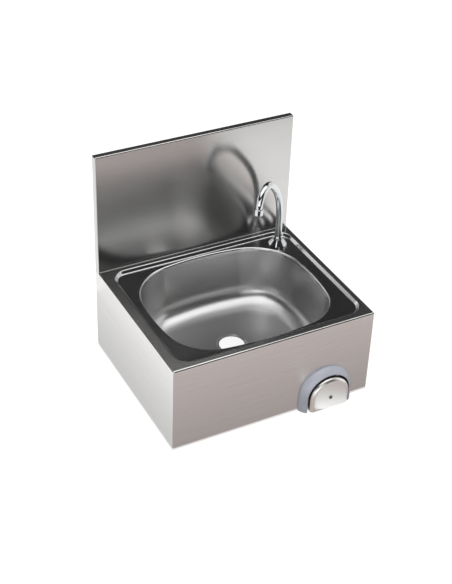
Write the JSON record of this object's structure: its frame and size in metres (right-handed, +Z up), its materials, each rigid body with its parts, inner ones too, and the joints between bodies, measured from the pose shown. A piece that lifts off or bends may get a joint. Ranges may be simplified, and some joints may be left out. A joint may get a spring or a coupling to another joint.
{
  "type": "hand basin",
  "caption": "Wall-hung stainless steel hand basin with a pressed bowl, upright splashback, swivelling gooseneck spout and a knee push that opens the valve.",
  "frame": {"origin": "centre of the four wall bolt holes, on the wall plane", "axes": "+Y towards the wall, front of the basin towards -Y, +X to the right seen from the front, +Z up"},
  "size_m": [0.5, 0.4468, 0.52],
  "materials": {
    "stainless_sheet": "satin",
    "polished_plate": "polished",
    "chrome_plate": "mirror",
    "brass": "machined",
    "copper_tube": "drawn",
    "black_rubber": "matte",
    "red_fibre": "matte",
    "grey_plastic": "satin",
    "white_acetal": "matte",
    "spring_steel": "drawn",
    "zinc_screw": "satin"
  },
  "bodies": {
    "basin": {"casing": "stainless_sheet", "splashback": "stainless_sheet", "basin_tray": "stainless_sheet", "bowl": "stainless_sheet", "knee_collar": "grey_plastic", "collar_seal": "black_rubber", "collar_screws": "zinc_screw", "return_spring": "spring_steel", "valve_body": "brass", "valve_washer": "red_fibre", "valve_lock_nut": "brass", "rod_seal": "black_rubber", "mixing_tee": "brass", "cold_check_valve": "white_acetal", "hot_check_valve": "white_acetal", "inlet_filters": "spring_steel", "riser_pipe": "copper_tube", "fitting_nuts": "brass", "fitting_olives": "brass", "spout_base": "chrome_plate", "base_gasket": "black_rubber", "deck_washer": "spring_steel", "deck_nut": "brass", "gland_nut": "chrome_plate", "spout_seals": "black_rubber"},
    "knee_push": {"knee_plate": "polished_plate", "plate_screw": "zinc_screw", "plate_hub": "white_acetal", "push_rod": "polished_plate", "valve_poppet": "brass", "poppet_seal": "black_rubber"},
    "spout": {"spout_tube": "chrome_plate", "slip_ring": "white_acetal", "aerator_housing": "chrome_plate", "aerator_insert": "white_acetal", "aerator_washer": "black_rubber"}
  },
  "joints": [
    {"name": "knee_push", "type": "slide", "parent": "basin", "child": "knee_push", "axis": [0, 1, 0], "range_m": [0, 0.01], "stiffness_N_per_m": 900, "springref_m": -0.012, "deforming": ["return_spring"]},
    {"name": "spout_swivel", "type": "hinge", "parent": "basin", "child": "spout", "pos_m": [0.195, -0.07, 0.1015], "axis": [0, 0, 1], "range_deg": [-54, 170]}
  ]
}
